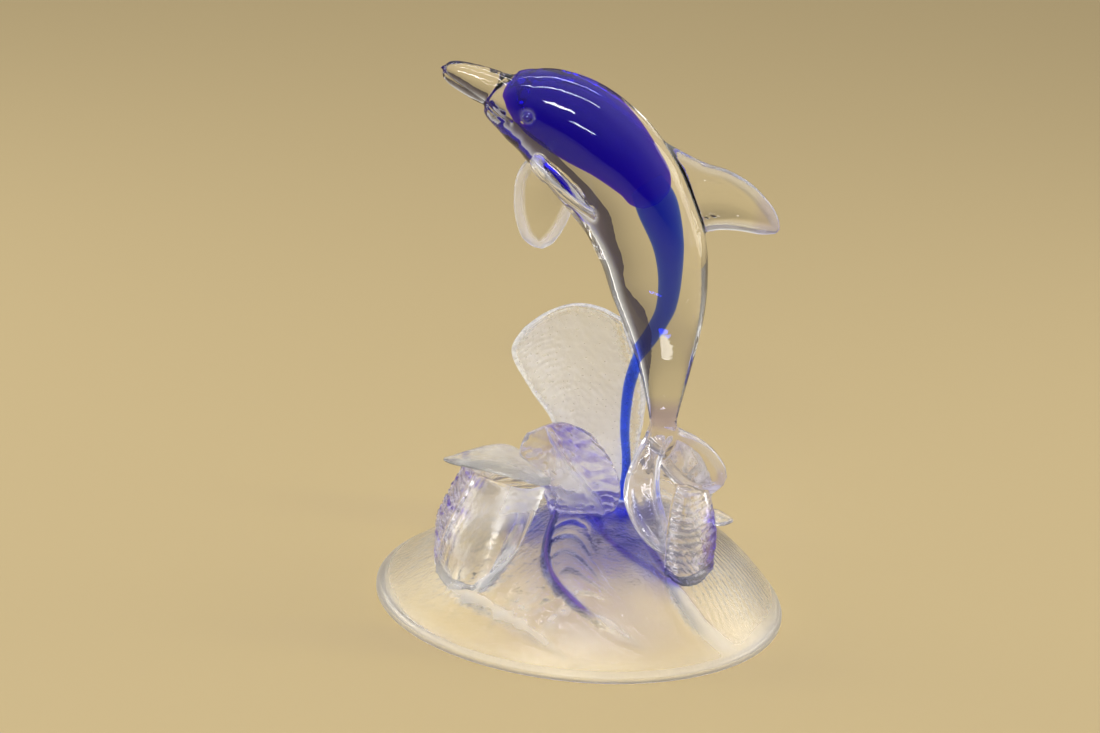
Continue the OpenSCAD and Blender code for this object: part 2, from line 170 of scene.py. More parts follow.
# ---------------------------------------------------------------- curves and meshes
def smooth(keys, n):
    """Catmull-Rom through every key row, n steps between neighbours."""
    k = np.asarray(keys, float)
    m = len(k)
    out = []
    for i in range(m - 1):
        a, b, c, d = k[max(i - 1, 0)], k[i], k[i + 1], k[min(i + 2, m - 1)]
        for j in range(n):
            t = j / n
            out.append(0.5 * (2 * b + (c - a) * t + (2 * a - 5 * b + 4 * c - d) * t * t
                              + (3 * b - a - 3 * c + d) * t ** 3))
    out.append(k[-1])
    return np.array(out)


def unit(v):
    return v / np.maximum(np.linalg.norm(v, axis=-1, keepdims=True), 1e-12)


def mesh_object(name, verts_mm, faces, mat):
    me = bpy.data.meshes.new(name)
    v = np.asarray(verts_mm, np.float64) * MM
    me.from_pydata([tuple(p) for p in v.tolist()], [], [list(f) for f in faces])
    me.validate()
    me.update()
    for p in me.polygons:
        p.use_smooth = True
    o = bpy.data.objects.new(name, me)
    bpy.context.scene.collection.objects.link(o)
    me.materials.append(mat)
    return o


def turn_out(o):
    """Faces point outwards."""
    b = bmesh.new()
    b.from_mesh(o.data)
    bmesh.ops.recalc_face_normals(b, faces=b.faces)
    b.to_mesh(o.data)
    b.free()
    return o


def ringed(name, rings, mat):
    """Closed mesh through equal rings, each end closed to its own centre."""
    r = np.asarray(rings, float)
    m, n = r.shape[:2]
    v = np.vstack([r.reshape(-1, 3), r[0].mean(0), r[-1].mean(0)])
    f = []
    for i in range(m - 1):
        for j in range(n):
            a, b = i * n + j, i * n + (j + 1) % n
            f.append((a, b, b + n, a + n))
    for j in range(n):
        f.append((m * n, (j + 1) % n, j))
        f.append((m * n + 1, (m - 1) * n + j, (m - 1) * n + (j + 1) % n))
    return turn_out(mesh_object(name, v, f, mat))


# ---------------------------------------------------------------- the dolphin, one fused solid
# Body along its length as (x, z, radius), and its width as a share of that depth
BODY = [(-64.6, 196, 1), (-63.4, 195.6, 3.1), (-60, 194.5, 4.7), (-53, 192.2, 6.1),
        (-46.6, 190, 7.1), (-42.5, 187.6, 10.2), (-36, 185.4, 13.8), (-27, 182.4, 17.4),
        (-17, 177.2, 19.8), (-7.4, 169.4, 21), (0.6, 161, 21), (7.6, 151.6, 20.4),
        (14.2, 138, 19.4), (18, 124, 17.6), (20.4, 113.5, 15.2), (22, 103.4, 12.4),
        (23.1, 92.9, 9.5), (23.8, 82.5, 7), (24.3, 74, 5.2), (24.8, 65, 4.2), (24.9, 61.5, 2.2)]
FLAT = 0.8
# Fins: sections from root to tip as (centre, half chord, half thickness)
LEAVES = {
    "dorsal_fin": [
        ((20.6, 0, 159), (6, 0, -15.8), (0, 3.5, 0)),
        ((30, 0, 157.5), (1.4, 0, -11.4), (0, 3.3, 0)),
        ((37.5, 0, 157.2), (-0.6, 0, -9.4), (0, 2.8, 0)),
        ((44.5, 0, 155.4), (-1.6, 0, -7.2), (0, 2.2, 0)),
        ((50.5, 0, 152.6), (-1.6, 0, -4.8), (0, 1.75, 0)),
        ((55, 0, 149.9), (-1.2, 0, -2.6), (0, 1.3, 0)),
        ((57.4, 0, 148.1), (-0.4, 0, -0.8), (0, 0.6, 0))],
    "left_flipper": [
        ((-16.6, -4, 157.6), (-10, 0.6, 9.6), (2, 0.1, 2)),
        ((-18.2, -12, 160), (-10.2, 0.2, 9.2), (1.9, 0.1, 1.9)),
        ((-19.8, -18, 162), (-9.8, 0, 8.4), (1.6, 0.1, 1.6)),
        ((-21.2, -23.4, 163.8), (-8.6, 0, 7.2), (1.3, 0.1, 1.3)),
        ((-22.2, -27.4, 165), (-6.6, 0, 5.4), (1, 0, 1)),
        ((-22.8, -29.6, 165.6), (-3.8, 0, 3), (0.8, 0, 0.8)),
        ((-23, -30.4, 165.8), (-1, 0, 0.8), (0.35, 0, 0.35))],
    "right_flipper": [
        ((-18, 8, 164), (-10, 0, 2), (-0.4, 2.8, -0.4)),
        ((-22.4, 14, 157.6), (-10, 0, 2.4), (-0.4, 2.6, -0.4)),
        ((-25, 17.6, 151), (-9.7, 0, 2.6), (-0.3, 2.35, -0.3)),
        ((-26, 19.8, 144.4), (-9, 0, 2), (-0.3, 2, -0.3)),
        ((-26.5, 21, 137.6), (-7.5, 0, 1.2), (-0.2, 1.6, -0.2)),
        ((-26.6, 21.7, 131.4), (-4.8, 0, 0.4), (-0.2, 1.2, -0.2)),
        ((-26.3, 21.9, 127.8), (-1.4, 0, 0.2), (-0.1, 0.6, -0.1))],
    "left_fluke": [
        ((24, 0.4, 68), (3.4, 0, 0.4), (0, 3, -1.2)),
        ((21.4, -4, 63), (3.6, 0.6, 0.4), (0, 2.4, -1.8)),
        ((19.4, -8.6, 58.4), (4, 0.9, 0.5), (0, 2.25, -1.95)),
        ((18.6, -13.4, 53.2), (4.7, 1.2, 0.5), (0, 2.04, -1.8)),
        ((19.2, -17.4, 48.6), (5, 1.2, 0.5), (0, 1.8, -1.65)),
        ((21.2, -21.2, 44.2), (4.8, 1, 0.4), (0, 1.5, -1.35)),
        ((23.8, -25, 39.8), (4, 0.8, 0.3), (0, 1.2, -1.05)),
        ((26.6, -28.4, 35.8), (2.4, 0.4, 0.2), (0, 0.9, -0.75)),
        ((28.4, -30.2, 33.8), (0.6, 0.1, 0), (0, 0.42, -0.3))],
    "right_fluke": [
        ((24.4, 0.6, 67), (1.6, 0.8, 3.4), (1.5, -2.1, -0.3)),
        ((28.4, 4, 61), (2.4, 1.4, 5.6), (1.35, -2.1, -0.3)),
        ((34.2, 8.4, 55.2), (2.4, 1.2, 7.6), (1.2, -1.8, 0)),
        ((40.4, 12.6, 50.2), (2, 1, 7.6), (1.05, -1.5, 0)),
        ((45.8, 15.4, 46.8), (1.4, 0.8, 4.8), (0.75, -1.05, 0)),
        ((49.2, 16.8, 45.4), (0.4, 0.2, 1.3), (0.3, -0.42, 0))]}

# Rolled rim of the fins: how much thicker it is, and the width of the milky band painted along it as a
# highlight for its bright edge
RIM_BEAD = 1.1
RIM_HIGHLIGHT_WIDTH = 3.2
# Painted highlight: how milky each fin's rim band is painted, standing in for the bright light along its edge
RIM_HIGHLIGHT_FROST = {"dorsal_fin": 0.26, "left_flipper": 0.42, "right_flipper": 0.5, "left_fluke": 0.16,
             "right_fluke": 0.22}
# Radius over which each fin runs into the body
BLEND = {"dorsal_fin": 1.1, "left_flipper": 2, "right_flipper": 2, "left_fluke": 4, "right_fluke": 4}


def smin(a, b, k):
    h = np.maximum(k - np.abs(a - b), 0) / k
    return np.minimum(a, b) - h * h * h * k / 6


def along(px, pz, rows):
    """Distance of XZ points off a line of (x, z, radius) rows, and the radius at the nearest place."""
    best = np.full(px.shape, 1e9)
    rad = np.zeros(px.shape)
    for a, b in zip(rows[:-1], rows[1:]):
        d = b[:2] - a[:2]
        t = np.clip(((px - a[0]) * d[0] + (pz - a[1]) * d[1]) / max(float(d @ d), 1e-9), 0, 1)
        q = np.hypot(px - a[0] - t * d[0], pz - a[1] - t * d[1])
        w = q < best
        best[w] = q[w]
        rad[w] = (a[2] + t * (b[2] - a[2]))[w]
    return best, rad


def tree_of(points):
    tree = KDTree(len(points))
    for k, c in enumerate(points.tolist()):
        tree.insert(c, k)
    tree.balance()
    return tree


def leaf_field(P, keys):
    """Distance to a leaf: its curved mid surface, thickened by a lens profile."""
    rows = smooth(keys, 22)
    s = np.sin(np.linspace(-np.pi / 2, np.pi / 2, 41))[None, :, None]
    mid = (rows[:, None, 0] + rows[:, None, 1] * s).reshape(-1, 3)
    thick = np.linalg.norm(rows[:, 2], axis=1)[:, None]
    chord = np.linalg.norm(rows[:, 1], axis=1)[:, None]
    rim = np.exp(-(chord * (1 - np.abs(s[..., 0])) / 1.7) ** 2) * RIM_BEAD * np.clip(chord / 4, 0, 1)
    half = (0.6 + rim + np.maximum(thick - 0.6, 0.05) * np.maximum(1 - s[..., 0] ** 2, 0) ** 0.7).ravel()
    tree = tree_of(mid)
    off = np.empty(len(P))
    for i, c in enumerate(P.tolist()):
        _, k, d = tree.find(c)
        off[i] = d - half[k]
    return off


def cell_at(index, e, u, w, du, dw):
    """Vertex number of the cell that lies du, dw cells back from each grid edge e."""
    q = e.copy()
    q[:, u] -= du
    q[:, w] -= dw
    return index[tuple(q.T)]


def cell_places(F, act):
    """Mean place of the surface's crossings of each active cell's edges, in cells."""
    corner = [(i, j, k) for i in (0, 1) for j in (0, 1) for k in (0, 1)]
    val = {q: F[act[:, 0] + q[0], act[:, 1] + q[1], act[:, 2] + q[2]] for q in corner}
    total = np.zeros((len(act), 3))
    count = np.zeros(len(act))
    for q in corner:
        for ax in range(3):
            if q[ax] == 0:
                p = list(q)
                p[ax] = 1
                a, b = val[q], val[tuple(p)]
                cross = (a < 0) != (b < 0)
                t = np.where(cross, a / np.where(cross, a - b, 1), 0)
                pos = np.tile(np.array(q, float), (len(act), 1))
                pos[:, ax] = t
                total += pos * cross[:, None]
                count += cross
    return total / count[:, None]


def net_quads(inside, index):
    """One quad round every grid edge that the surface crosses, facing outwards."""
    quads = []
    for ax in range(3):
        u, w = (ax + 1) % 3, (ax + 2) % 3
        a = [slice(1, -1)] * 3
        b = [slice(1, -1)] * 3
        a[ax], b[ax] = slice(0, -1), slice(1, None)
        A, B = inside[tuple(a)], inside[tuple(b)]
        e = np.argwhere(A != B)
        flip = A[tuple(e.T)]
        e = e + np.array([0 if i == ax else 1 for i in range(3)])
        f = np.stack([cell_at(index, e, u, w, *step) for step in ((0, 0), (1, 0), (1, 1), (0, 1))], 1)
        f[~flip] = f[~flip][:, ::-1]
        quads.append(f)
    return np.vstack(quads)


def surface_nets(F, lo, h):
    """Closed surface of F < 0 on a regular grid, as vertices in mm and quads."""
    nx, ny, nz = F.shape
    inside = F < 0
    c = np.zeros((nx - 1, ny - 1, nz - 1), np.int8)
    for i in (0, 1):
        for j in (0, 1):
            for k in (0, 1):
                c += inside[i:nx - 1 + i, j:ny - 1 + j, k:nz - 1 + k]
    act = np.argwhere((c > 0) & (c < 8))
    index = -np.ones(c.shape, np.int64)
    index[tuple(act.T)] = np.arange(len(act))
    verts = np.array(lo) + h * (act + cell_places(F, act))
    return verts, net_quads(inside, index)


def relax(v, f, rounds):
    """Light smoothing that keeps the volume."""
    e = np.vstack([f[:, [0, 1]], f[:, [1, 2]], f[:, [2, 3]], f[:, [3, 0]]])
    n = len(v)
    count = np.maximum(np.bincount(e[:, 0], minlength=n), 1)[:, None]
    for k in range(rounds * 2):
        mean = np.stack([np.bincount(e[:, 0], v[e[:, 1], i], n) for i in range(3)], 1) / count
        v = v + (mean - v) * (0.5 if k % 2 == 0 else -0.52)
    return v


# Mouth line as (x, z), and the eye bead as (x, y, z, radius)
MOUTH = [(-64.6, 195.2), (-60, 192.6), (-53, 188.6), (-47, 184.8), (-43, 182.2), (-39.6, 180.8)]
EYE = (-33.8, 11.7, 184.2, 1.9)


def dolphin_field(h):
    """Signed distance, about, to the fused glass of the dolphin on a grid of step h."""
    lo = np.array([-69.0, -34.0, 30.0])
    hi = np.array([61.0, 26.0, 203.0])
    n = np.ceil((hi - lo) / h).astype(int) + 1
    gx, gy, gz = (lo[i] + h * np.arange(n[i]) for i in range(3))
    PX, PZ = np.meshgrid(gx, gz, indexing="ij")
    off, rad = along(PX, PZ, smooth(BODY, 30))
    line, _ = along(PX, PZ, np.array([(*m, 0) for m in smooth(MOUTH, 6)]))
    crease = (PX + 46.6) * 0.88 - (PZ - 190) * 0.47
    groove = 0.6 * np.exp(-(line / 0.7) ** 2) + 0.32 * np.exp(-(crease / 1.2) ** 2) * (off < 16)
    F = np.sqrt(off[:, None, :] ** 2 + (gy[None, :, None] / FLAT) ** 2) - (rad - groove)[:, None, :]
    F *= 0.9
    for name, keys in LEAVES.items():
        k = np.asarray(keys, float)
        reach = np.abs(k[:, 1]) + np.abs(k[:, 2])
        a, b = (k[:, 0] - reach).min(0) - 3, (k[:, 0] + reach).max(0) + 3
        i0 = np.maximum(((a - lo) / h).astype(int), 0)
        i1 = np.minimum(((b - lo) / h).astype(int) + 2, n)
        s = tuple(slice(p, q) for p, q in zip(i0, i1))
        P = np.stack(np.meshgrid(gx[s[0]], gy[s[1]], gz[s[2]], indexing="ij"), -1)
        G = leaf_field(P.reshape(-1, 3), keys).reshape(P.shape[:3])
        F[s] = smin(F[s], G, BLEND[name])
    X, Y, Z = np.meshgrid(gx, gy, gz, indexing="ij", sparse=True)
    bead = np.sqrt((X - EYE[0]) ** 2 + (np.abs(Y) - EYE[1]) ** 2 + (Z - EYE[2]) ** 2) - EYE[3]
    F = F + np.where(Y < 0, 0.7, 0.06) * np.exp(-((bead - 0.5) / 0.45) ** 2)
    return smin(F, bead, 0.2), lo


def painted_highlight_frost(v):
    """Painted highlight: a milky band along the free edges of the fins for their bright edges, and a thin
    milky ring round the near eye as a painted reflection.
    """
    # Painted reflection: a light milky ring round the eye on the near side only
    ring = np.linalg.norm(v * (1, -1, 1) - EYE[:3], axis=1) - EYE[3]
    out = 0.22 * np.exp(-((ring - 0.45) / 0.35) ** 2)
    # Painted highlight: a milky band along each fin's free edge stands in for the bright light along it
    for name, amount in RIM_HIGHLIGHT_FROST.items():
        rows = smooth(np.asarray(LEAVES[name], float), 12)
        outline = np.vstack([rows[:, 0] + rows[:, 1], rows[:, 0] - rows[:, 1]])
        near = np.flatnonzero(np.all((v > outline.min(0) - 4) & (v < outline.max(0) + 4), axis=1))
        tree = tree_of(outline)
        away = np.array([tree.find(c)[2] for c in v[near].tolist()])
        out[near] = np.maximum(out[near], amount * np.clip((RIM_HIGHLIGHT_WIDTH - away) / 1.2, 0, 1))
    return out


def make_dolphin(mat):
    h = 0.5
    F, lo = dolphin_field(h)
    v, f = surface_nets(F, lo, h)
    v = relax(v, f, 3)
    o = mesh_object("clear_dolphin", v, f.tolist(), mat)
    x, y, z = v.T
    stem = 0.8 * band(z, 69, 80, 6)
    flukes = (0.15 + 0.4 * np.clip(grains(v * (1, 1, 0.35), 5, 1.0), 0, 1)) * band(z, 30, 66, 6)
    fin_root = 0.3 * np.exp(-((x - 24.5 - 0.1 * (158 - z)) / 0.9) ** 2) * band(z, 140, 162, 3)
    fin_edge = 0.35 * band(x, 50, 99, 4) * band(z, 140, 162, 3)
    # The frost painted here is the painted highlight on the fin rims and the painted reflection round the
    # near eye
    paint(o, tint=np.maximum.reduce([stem, flukes, fin_root, fin_edge]), frost=painted_highlight_frost(v))
    return o


# ---------------------------------------------------------------- foot and waves
# Foot radius, dome height at the left and at the right, height and width of the rim
FOOT_R, FOOT_L, FOOT_H, RIM_H, RIM_W = 75.0, 33.0, 41.0, 3.0, 4.0
# How far glasses that are fused run into each other
SINK = 0.15
# Steps across the underside of a wave
CAP_STEPS = 7
# Height of the lumps on the small closed leaves
BLADE_LUMPS = 0.25


def dome_z(x, y):
    """Height of the dome's top surface."""
    rho = np.hypot(x, y)
    r = np.minimum(rho, FOOT_R)
    s = (1 + x / np.maximum(rho, 1e-6)) / 2
    h = FOOT_L + (FOOT_H - FOOT_L) * s - RIM_H
    top = (FOOT_L + FOOT_H) / 2 - RIM_H
    b = np.minimum(r / FOOT_R * 2.5, 1)
    return RIM_H + (top * (1 - b) + h * b) * (1 - (r / FOOT_R) ** (1.8 + 0.8 * s))


def weights(count, at):
    """Catmull-Rom weight of each of count keys at each place, 0 to 1 along them."""
    at = np.asarray(at) * (count - 1)
    i = np.minimum(at.astype(int), count - 2)
    t = at - i
    w = np.zeros((len(at), count))
    cubics = ((0, -1, 2, -1), (2, 0, -5, 3), (0, 1, 4, -3), (0, 0, -1, 1))
    for off, (a, b, c, d) in zip((-1, 0, 1, 2), cubics):
        share = 0.5 * (a + b * t + c * t * t + d * t ** 3)
        np.add.at(w, (np.arange(len(at)), np.clip(i + off, 0, count - 1)), share)
    return w


def stops(length, step, near_start=True):
    """Places 0 to 1 along an edge: close together at its ends, then every step mm."""
    end = np.array([0, 0.06, 0.2, 0.45, 0.8, 1.2, 1.7]) / length
    mid = np.linspace(end[-1] if near_start else 0, 1 - end[-1], max(4, int(length / step)))
    return np.concatenate([end[:-1] if near_start else [], mid, 1 - end[:-1][::-1]])


def grains(p, size, seed=0.0, octaves=2):
    """Smooth noise at points in mm, about -1 to 1, from rotated sine waves."""
    q = p / size * 2.2 + seed
    out = np.zeros(p.shape[:-1])
    for k in range(octaves):
        f = 1.9 ** k
        x, y, z = (q[..., i] * f for i in range(3))
        out += (np.sin(x + 1.7 * np.sin(y * 0.8 + seed) + k)
                * np.cos(y * 1.1 - 1.3 * np.sin(z * 0.9 + x * 0.4))
                + np.sin(z * 1.2 + 1.1 * np.sin(x * 0.7 - y * 0.5) + 2 * k)) * 0.5 / f ** 0.7
    return out


def band(x, a, b, soft):
    """1 between a and b, falling to 0 over soft."""
    return np.clip((x - a) / soft + 0.5, 0, 1) * np.clip((b - x) / soft + 0.5, 0, 1)


def rib(phase, sharp=1.0):
    """Ribs: narrow round crests with wide valleys, -0.5 to 0.5."""
    w = 0.5 + 0.5 * np.cos(phase * 2 * np.pi)
    return w ** sharp - 0.5


def paint(o, **values):
    for name, v in values.items():
        a = o.data.attributes.new(name, "FLOAT", "POINT")
        a.data.foreach_set("value", np.asarray(v, np.float32).ravel())


def seat(q):
    """Height at which a wave's foot is set into the dome."""
    return foot_top(q[..., 0], q[..., 1]) - SINK


def sheet(grid, step):
    """Fine mid surface through a grid of keys, its normals, and places along u and v."""
    k = np.asarray(grid, float)
    rows, cols = k.shape[:2]
    lu = np.linalg.norm(np.diff(k, axis=1), axis=2).sum(1).mean()
    lv = np.linalg.norm(np.diff(k, axis=0), axis=2).sum(0).mean()
    U, V = stops(lu, step), stops(lv, step, False)
    p = np.einsum("ia,jb,abk->ijk", weights(rows, V), weights(cols, U), k)
    m, w = p.shape[:2]
    n = unit(np.cross(np.gradient(p, U, axis=1), np.gradient(p, V, axis=0)))
    if n[..., 1].mean() > 0:
        n = -n
    u, v = np.broadcast_to(U[None, :], (m, w)), np.broadcast_to(V[:, None], (m, w))
    return p, n, u, v, lu, lv


def close_sheet(F, B):
    """Vertices and faces of a front and a back grid, closed along all four edges.
    Also gives the back's own vertices as a mask."""
    m, w = F.shape[:2]
    fi = np.arange(m * w).reshape(m, w)
    inner = np.zeros((m, w), bool)
    inner[:-1, 1:-1] = True
    bi = fi.copy()
    bi[inner] = m * w + np.arange(inner.sum())
    under = F[0, 1:-1] + (B[0, 1:-1] - F[0, 1:-1]) * (np.arange(1, CAP_STEPS) / CAP_STEPS)[:, None, None]
    under[..., 2] = seat(under)
    ui = m * w + inner.sum() + np.arange((CAP_STEPS - 1) * (w - 2)).reshape(CAP_STEPS - 1, w - 2)
    cap = np.vstack([fi[0, 1:-1], ui, bi[0, 1:-1]])
    verts = np.vstack([F.reshape(-1, 3), B[inner], under.reshape(-1, 3)])
    f = [np.stack([g[:-1, :-1], g[:-1, 1:], g[1:, 1:], g[1:, :-1]], -1).reshape(-1, 4)[:, ::s]
         for g, s in ((fi, 1), (bi, -1), (cap, -1))]
    ends = [[fi[0, e], a, b]
            for e, col in ((0, cap[:, 0]), (w - 1, cap[::-1, -1]))
            for a, b in zip(col[:-1], col[1:])]
    return verts, np.vstack(f).tolist() + ends, inner


def plate(name, grid, thick, relief, mat, step=0.5, edge=3.0, flare=1.0, joint=0.6):
    """Closed curved sheet with round free edges, flared where its foot joins the dome.
    relief(u, v, p, su, sv) gives the lift of the front and back, and the frost and tint."""
    p, n, u, v, lu, lv = sheet(grid, step)
    su, sv = u * lu, v * lv
    p[..., 2] += (seat(p[:1]) - p[:1, :, 2]) * np.exp(-sv / 7)
    over = np.maximum(p[..., 2] - seat(p), 0)
    p[..., 2] = seat(p) + over
    free = np.minimum(np.minimum(su, lu - su), lv - sv)
    near = np.clip(free / edge, 0, 1)
    rnd = np.sqrt(np.maximum(1 - (1 - near) ** 2, 0))
    front, back, frost, tint = relief(u, v, p, su, sv)
    body = (thick / 2 + flare * np.exp(-over / 2.4)) * rnd
    fade = np.clip(free / 1.2, 0, 1)
    F, B = (p + n * s * (body + lift * fade)[..., None] for s, lift in ((1, front), (-1, back)))
    for q in (F, B):
        q[..., 2] += (seat(q) - seat(p)) * np.exp(-over / 4)
        q[0, :, 2] = seat(q[0])
    verts, faces, inner = close_sheet(F, B)
    o = turn_out(mesh_object(name, verts, faces, mat))
    frost, tint = (np.broadcast_to(q, u.shape) for q in (frost, tint))
    frost = np.maximum(frost, joint * np.exp(-((over - 1) / 1.8) ** 2))
    paint(o, **{key: np.concatenate([q.ravel(), q[inner], np.tile(q[0, 1:-1], CAP_STEPS - 1)])
                for key, q in (("frost", frost), ("tint", tint))})
    return o


# Key grids: rows run up from the foot, points run across each row
TALL = [
    [(-12, 12, 38), (-6, 10, 39), (1, 8, 39), (9, 7, 39), (17, 8, 39)],
    [(-12.5, 9, 54), (-6, 11, 55), (2, 10, 55), (9, 8, 55), (16, 6, 56)],
    [(-15.5, 5, 67), (-8, 10, 69), (1, 11, 70), (9, 9, 70), (17, 5, 70)],
    [(-24, 2, 79), (-14, 9, 83), (-3, 11, 84), (7, 8, 84), (16.6, 3, 83)],
    [(-32, -1, 93.5), (-20, 8, 96), (-8, 10, 97), (3, 7, 97), (12, 2, 96)],
    [(-28.4, 1, 102.5), (-20, 7, 108), (-11, 8, 111.4), (-2, 5, 111.6), (6.4, 1, 109)]]
CURL = [
    [(-13, 2, 34), (-6.5, -2, 36), (1, -4.5, 37), (9, -2.5, 38)],
    [(-17.5, -3, 46), (-9, -9, 45.6), (1, -11, 45.6), (11, -6, 46.6)],
    [(-26, -1, 55.6), (-14, -8, 58), (-3, -11, 57.6), (6.8, -6, 57)],
    [(-23, -1, 63.8), (-16, -4, 69.3), (-9.6, -6, 70.5), (-2, -5, 66.4)]]
WALL = [
    [(-52, 6, 15), (-51.6, -12, 15.5), (-48.6, -27, 15), (-41.5, -38.5, 15.5), (-33, -38, 19.5),
     (-25.5, -23, 26.5)],
    [(-52.6, 3, 27), (-51.4, -13, 27), (-46.6, -26, 28), (-38.5, -34, 28), (-29.5, -33, 30),
     (-22.5, -21, 34)],
    [(-49.6, 2, 37), (-48, -12, 38), (-42, -22, 40), (-34, -28, 40), (-26, -27, 41), (-19.5, -19, 42)],
    [(-43.6, 2, 50), (-43, -10, 51), (-37, -18, 51.6), (-30, -21.6, 50.8), (-23, -21, 49.6), (-17, -16, 49)]]
RIGHT = [
    [(29, -35, 27), (34, -37, 25), (40.5, -32, 25), (46, -20, 26.5)],
    [(28.5, -30, 38), (34, -31, 36), (41, -26, 35.5), (46.2, -16, 36)],
    [(28.8, -25, 47.5), (34, -26, 46), (40, -21, 44.5), (44.6, -13, 44.4)],
    [(30.5, -18, 55.5), (34.5, -19, 56), (38.8, -16, 53.5), (42, -10, 51)]]
BACK_LEFT = [
    [(-48, 18, 17), (-38, 28, 20), (-25, 33, 23), (-10, 34, 26)],
    [(-50, 17, 27), (-40, 27, 29), (-26, 32, 31), (-10, 33, 34)],
    [(-45, 14, 36), (-37, 23, 38), (-26, 27, 40), (-12, 28, 41)],
    [(-37, 11, 42), (-31, 17, 44.6), (-23, 20, 47), (-14, 21, 47)]]
BACK_RIGHT = [
    [(6, 37, 26), (20, 37, 28), (33, 32, 27), (43, 22, 26)],
    [(6, 37, 37), (21, 38, 40), (35, 32, 38), (45, 23, 36)],
    [(10, 32, 45), (21, 33, 49), (33, 28, 48), (41, 21, 43)],
    [(14, 26, 49), (22, 26, 54), (30, 23, 54), (36, 19, 49)]]


def height_of(grid):
    """Mean length of a key grid up from the foot."""
    return np.linalg.norm(np.diff(np.asarray(grid, float), axis=0), axis=2).sum(0).mean()


def tall_relief(u, v, p, su, sv):
    z = p[..., 2]
    left = band(u, -1, 0.3, 0.3) * band(z, 68, 101, 6)
    rings = rib((z - 2.9 * np.sqrt(np.maximum(su, 0)) + 0.4 * np.sin(su * 0.7)) / 2.1, 1.4)
    flow = rib((su + sv * 0.75 + 2 * np.sin(sv * 0.16) + 0.5 * grains(p, 11, 0.4)) / 5, 2)
    flow = flow * band(u, 0.4, 1.2, 0.3) * band(z, -9, 99, 10)
    pit = grains(p, 1.1, 3.1)
    lip = band(v, 0.98, 2, 0.03)
    clear = band(u, 0.88, 2, 0.1)
    lumps = (0.05 * pit + 0.2 * grains(p, 7, 1.3) + 0.1 * grains(p, 2.6, 4.2)) * (1 - lip) * (1 - clear)
    front = 0.28 * left * rings + 0.1 * flow + lumps
    rim = np.maximum(band(v, 0.95, 2, 0.04), band(u, -1, 0.03, 0.04))
    frost = (0.72 + 0.16 * pit + 0.15 * left * rings) * (1 - 0.4 * rim)
    thin = 1.5 * band(v, 0.75, 2, 0.5)
    return front - thin, 0.2 * grains(p, 7, 8.0) - thin, frost * (1 - 0.8 * clear), 0.01


def curl_relief(u, v, p, su, sv):
    off = u - (0.82 - 0.52 * v ** 1.2)
    ridge = np.exp(-(off / 0.03) ** 2) * band(v, 0.02, 0.92, 0.1)
    right = band(off, 0.03, 2, 0.06)
    left = 1 - right
    ribs = rib((sv + su * 0.5 + 0.5 * np.sin(su)) / 3.1, 1.4)
    arcs = rib(np.hypot(su - 3, sv - height_of(CURL) * 0.78) / 2.6 + 0.12 * grains(p, 5, 2.0), 1.4)
    lump = grains(p, 3, 5.0)
    lip = band(v, 0.8, 2, 0.12) * band(u, -1, 0.55, 0.2)
    patch = left * band(v, 0.05, 0.6, 0.2) * band(u, 0.25, 0.8, 0.2)
    crack = grains(p, 1.9, 6.0)
    front = (1.3 * ridge + 0.42 * right * ribs + 0.22 * left * arcs * (1 - lip)
             + (0.25 * lump + 0.14 * crack) * (1 - lip) + 0.8 * lip)
    frost = 0.36 + 0.15 * lump + 0.12 * crack + 0.4 * ridge + 0.4 * patch
    mottle = np.clip(0.2 + 0.8 * crack + 0.3 * lump, 0, 1)
    tint = (0.04 + (0.35 * right + 0.22 * left * (1 - patch)) * mottle + 0.25 * right * np.clip(-ribs, 0, 1)
            + 0.22 * band(v, 0.72, 2, 0.1) * band(u, 0.3, 0.75, 0.15) + 0.3 * band(v, -1, 0.08, 0.12))
    return front, 0.3 * grains(p, 6, 1.0), frost, tint


def wall_relief(u, v, p, su, sv):
    edge = band(u, -1, 0.29, 0.06)
    ribs = rib((sv + 0.25 * su) / 2.5 + 0.1 * np.sin(sv), 1.3)
    speck = np.clip(grains(p, 2.4, 4.0) - 0.45, 0, 1)
    patch = band(u, 0.6, 2, 0.12) * band(v, 0.62, 2, 0.2)
    roll = np.exp(-((u - 0.32) / 0.018) ** 2)
    front = (0.9 * edge * ribs + 0.35 * edge * grains(p, 3, 2) + 0.5 * roll + 0.35 * patch * grains(p, 1.3, 7)
             + 0.3 * band(u, 0.95, 2, 0.05))
    frost = (0.2 + 0.4 * edge * np.clip(ribs + 0.5, 0, 1) + 0.5 * patch + 0.15 * band(u, 0.94, 2, 0.06)
             + 0.2 * band(v, -1, 0.06, 0.1))
    dots = np.exp(-((u - 0.37) / 0.016) ** 2) * np.clip(grains(p, 4, 6) + 0.2, 0, 1)
    dots = dots * band(v, 0.35, 0.95, 0.1)
    return front, 0.12 * grains(p, 8, 3), frost, edge * (0.16 + 1.7 * speck) + 0.9 * dots + 0.02


def right_relief(u, v, p, su, sv):
    ribs = rib((p[..., 2] + 1.6 * np.sin(u * 3) + 0.35 * grains(p, 7, 1.0)) / 2.6, 2.2)
    deep = band(u, 0.82, 2, 0.1) * band(p[..., 2], -9, 45, 3)
    front = 0.22 * ribs + 0.25 * grains(p, 5, 2)
    tint = 0.06 + 0.8 * deep + 0.14 * np.clip(-ribs, 0, 1)
    return front, 0.15 * grains(p, 5, 3), 0.18 + 0.3 * np.clip(ribs, 0, 1), tint


def back_relief(u, v, p, su, sv):
    ribs = rib((sv + 14 * (u - 0.5) ** 2) / 3.1, 1.5)
    fan = rib(su / 9 + 0.3 * v, 1.2)
    back = 0.85 * ribs * band(v, -1, 0.85, 0.15) + 0.5 * fan + 0.2 * grains(p, 2, 5)
    return 0.25 * grains(p, 5, 2), back, 0.3 + 0.3 * np.clip(ribs, 0, 1), 0.04 + 0.1 * np.clip(-ribs, 0, 1)


